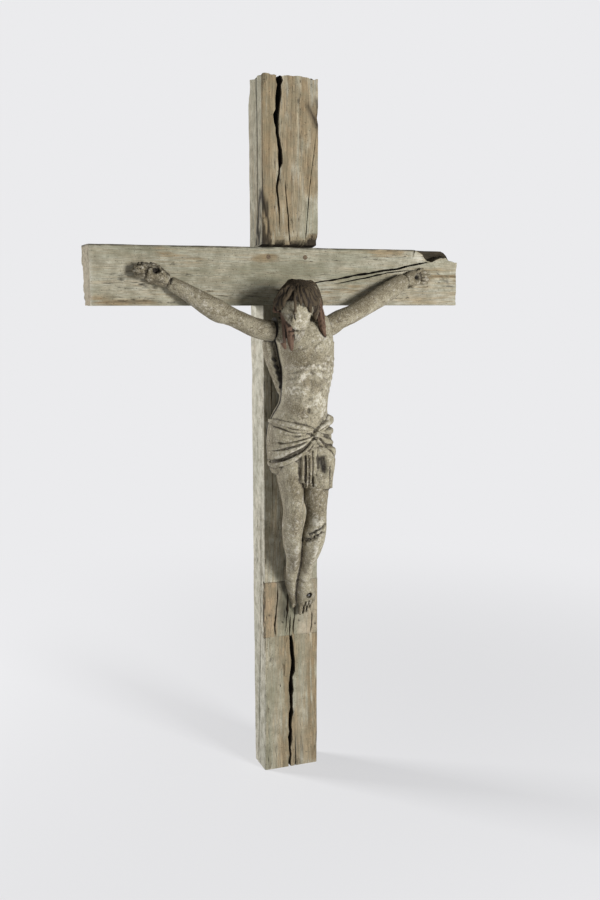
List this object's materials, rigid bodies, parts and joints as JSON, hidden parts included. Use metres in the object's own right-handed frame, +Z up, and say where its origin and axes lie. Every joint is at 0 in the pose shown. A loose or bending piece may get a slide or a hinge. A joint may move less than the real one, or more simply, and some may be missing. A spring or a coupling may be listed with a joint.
{
  "type": "wooden crucifix",
  "caption": "Free-standing lap-jointed timber cross with a carved wooden figure in a loincloth, cracked and weathered, with a pegged joint and a board let in under the feet.",
  "frame": {"origin": "centre of the post's underside, on the ground", "axes": "+Z up the post, -Y out of the front where the figure hangs, +X to the figure's left (the viewer's right)"},
  "size_m": [1.097, 0.3417, 2],
  "materials": {
    "painted_timber": "weathered softwood under thin chalky grey-green paint",
    "repair_timber": "newer softwood board, bleached and cracked",
    "peg_wood": "hardwood peg ends, dark end grain",
    "painted_carving": "carved wood with worn flesh paint and dark bare wood",
    "wrought_iron": "forged nail stub, dull grey"
  },
  "bodies": {
    "root": {"post": "painted_timber", "crossbeam": "painted_timber", "peg_left": "peg_wood", "peg_right": "peg_wood", "repair_board": "repair_timber", "corpus": "painted_carving", "right_arm": "painted_carving", "left_arm": "painted_carving", "foot_nail": "wrought_iron"}
  },
  "joints": []
}
